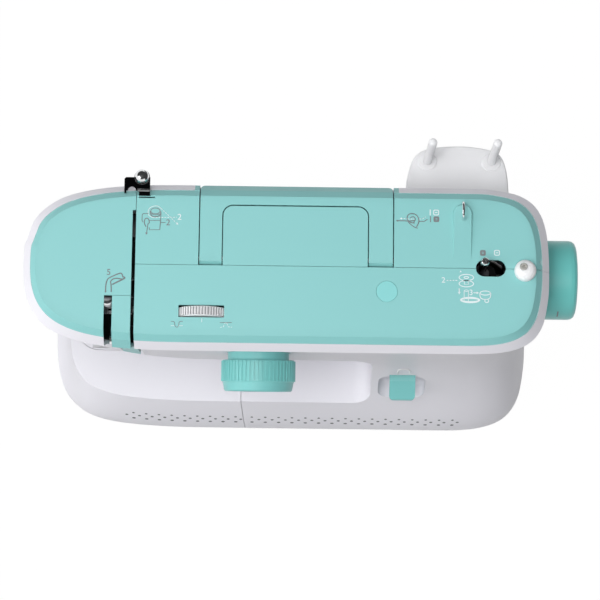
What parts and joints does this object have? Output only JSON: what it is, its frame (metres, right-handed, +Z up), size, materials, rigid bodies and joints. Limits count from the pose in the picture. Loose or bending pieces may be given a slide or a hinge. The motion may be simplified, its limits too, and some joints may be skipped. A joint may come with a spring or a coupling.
{
  "type": "sewing machine",
  "caption": "Free-arm domestic sewing machine with waisted housing, carry handle, handwheel, stitch dial, bobbin winder and fold-out spool stand.",
  "frame": {"origin": "middle of the bounding box on the table, under the feet", "axes": "+X to the machine's right (handwheel), +Y to its back, +Z up"},
  "size_m": [0.404, 0.1917, 0.302],
  "materials": {
    "white_housing": "satin white moulding",
    "teal_panel": "satin teal moulding",
    "teal_control": "satin deeper teal moulding",
    "white_control": "white moulding",
    "grey_plastic": "grey moulding",
    "black_plastic": "black moulding",
    "clear_plastic": "clear moulding",
    "steel": "satin steel",
    "chrome": "bright plated",
    "rubber": "black rubber",
    "motor_case": "dark painted steel",
    "bush_metal": "sintered bronze",
    "casting": "die casting"
  },
  "bodies": {
    "housing": {"front_cover": "white_housing", "rear_cover": "white_housing", "face_cover": "white_housing", "threading_tongue": "teal_panel", "face_top_panel": "teal_panel", "front_top_panel": "teal_panel", "rear_top_panel": "teal_panel", "hinge_pins": "steel", "free_arm": "white_housing", "base_pan": "grey_plastic", "rubber_feet": "rubber", "cover_screws": "steel", "needle_plate": "steel", "thread_cutter": "white_control", "lamp_lens": "clear_plastic", "pretension_bracket": "chrome", "pretension_stud": "chrome", "thread_loop": "chrome", "winder_stopper": "white_control", "power_inlet": "black_plastic", "shaft_bushes": "bush_metal", "timing_belt": "rubber", "drive_belt": "rubber", "motor": "motor_case", "bobbin_case": "grey_plastic", "main_frame": "casting", "tension_discs": "steel"},
    "handle": {"carry_handle": "teal_panel"},
    "spool_flap": {"spool_stand": "white_control", "spool_pins": "white_control"},
    "table": {"extension_table": "white_housing"},
    "bobbin_lid": {"bobbin_cover": "clear_plastic"},
    "winder_lever": {"winder_arm": "grey_plastic"},
    "winder_rotor": {"winder_spindle": "chrome", "winder_tyre": "rubber"},
    "main_drive": {"handwheel": "teal_control", "main_shaft": "steel", "crank_disc": "steel", "belt_pulley": "grey_plastic", "upper_sprocket": "grey_plastic"},
    "lower_drive": {"lower_shaft": "steel", "lower_sprocket": "grey_plastic", "hook_drive_gear": "steel"},
    "hook": {"rotary_hook": "steel"},
    "motor_rotor": {"motor_pulley": "grey_plastic"},
    "stitch_selector": {"stitch_dial": "teal_control", "pattern_cams": "grey_plastic"},
    "tension_wheel": {"tension_dial": "white_control"},
    "reverse_paddle": {"reverse_lever": "teal_control"},
    "switch_rocker": {"power_switch": "black_plastic"},
    "lifter": {"presser_lifter": "white_control"},
    "presser": {"presser_bar": "steel", "presser_foot": "chrome", "presser_spring": "steel"},
    "needle_carriage": {"needle_bar": "steel", "needle_clamp": "chrome", "needle": "chrome", "needle_bar_link": "steel"},
    "feed": {"feed_dog": "steel"},
    "take_up": {"take_up_lever": "steel"}
  },
  "joints": [
    {"name": "handwheel_turn", "type": "hinge", "parent": "housing", "child": "main_drive", "pos_m": [0.19, -0.008, 0.216], "axis": [1, 0, 0], "continuous": true},
    {"name": "lower_shaft_turn", "type": "hinge", "parent": "housing", "child": "lower_drive", "pos_m": [0, -0.0223, 0.03], "axis": [1, 0, 0], "continuous": true},
    {"name": "hook_turn", "type": "hinge", "parent": "housing", "child": "hook", "pos_m": [-0.152, -0.0223, 0.05], "axis": [0, 0, 1], "continuous": true},
    {"name": "motor_turn", "type": "hinge", "parent": "housing", "child": "motor_rotor", "pos_m": [0.13, 0.002, 0.062], "axis": [1, 0, 0], "continuous": true},
    {"name": "needle_stroke", "type": "slide", "parent": "housing", "child": "needle_carriage", "axis": [0, 0, -1], "range_m": [0, 0.031]},
    {"name": "take_up_swing", "type": "hinge", "parent": "housing", "child": "take_up", "pos_m": [-0.1375, -0.034, 0.232], "axis": [1, 0, 0], "range_deg": [0, 60]},
    {"name": "feed_move", "type": "slide", "parent": "housing", "child": "feed", "axis": [0, 1, 0], "range_m": [-0.002, 0.002]},
    {"name": "lifter_raise", "type": "hinge", "parent": "housing", "child": "lifter", "pos_m": [-0.144, 0.016, 0.17], "axis": [1, 0, 0], "range_deg": [0, 70]},
    {"name": "presser_lift", "type": "slide", "parent": "housing", "child": "presser", "axis": [0, 0, 1], "range_m": [0, 0.006], "deforming": ["presser_spring"]},
    {"name": "handle_lift", "type": "hinge", "parent": "housing", "child": "handle", "pos_m": [0, -0.007, 0.2794], "axis": [1, 0, 0], "range_deg": [0, 90]},
    {"name": "spool_stand_fold", "type": "hinge", "parent": "housing", "child": "spool_flap", "pos_m": [0.114, 0.048, 0.212], "axis": [1, 0, 0], "range_deg": [0, 100]},
    {"name": "table_slide", "type": "slide", "parent": "housing", "child": "table", "axis": [-1, 0, 0], "range_m": [0, 0.16]},
    {"name": "bobbin_cover_lift", "type": "slide", "parent": "housing", "child": "bobbin_lid", "axis": [0, 0, 1], "range_m": [0, 0.02]},
    {"name": "winder_swing", "type": "hinge", "parent": "housing", "child": "winder_lever", "pos_m": [0.1343, -0.0543, 0.252], "axis": [0, 0, -1], "range_deg": [0, 11.6]},
    {"name": "winder_turn", "type": "hinge", "parent": "winder_lever", "child": "winder_rotor", "pos_m": [0.1298, -0.0107, 0.26], "axis": [0, 0, 1], "continuous": true},
    {"name": "stitch_dial_turn", "type": "hinge", "parent": "housing", "child": "stitch_selector", "pos_m": [-0.0318, -0.0534, 0.205], "axis": [0, -0.9917, -0.1288], "continuous": true},
    {"name": "tension_turn", "type": "hinge", "parent": "housing", "child": "tension_wheel", "pos_m": [-0.0719, -0.0465, 0.2692], "axis": [0, 1, 0], "range_deg": [-150, 150]},
    {"name": "reverse_press", "type": "hinge", "parent": "housing", "child": "reverse_paddle", "pos_m": [0.0794, -0.052, 0.104], "axis": [1, 0, 0], "range_deg": [0, 12], "stiffness_Nm_per_rad": 0.6, "springref_deg": -5.73},
    {"name": "switch_rock", "type": "hinge", "parent": "housing", "child": "switch_rocker", "pos_m": [0.171, -0.016, 0.031], "axis": [0, 1, 0], "range_deg": [0, 20]}
  ],
  "couplings": [
    {"joint": "lower_shaft_turn", "follows": "handwheel_turn", "ratio": 1},
    {"joint": "hook_turn", "follows": "handwheel_turn", "ratio": -2},
    {"joint": "motor_turn", "follows": "handwheel_turn", "ratio": 2.9333},
    {"joint": "lifter_raise", "follows": "presser_lift", "rad_per_m": 203.62}
  ]
}
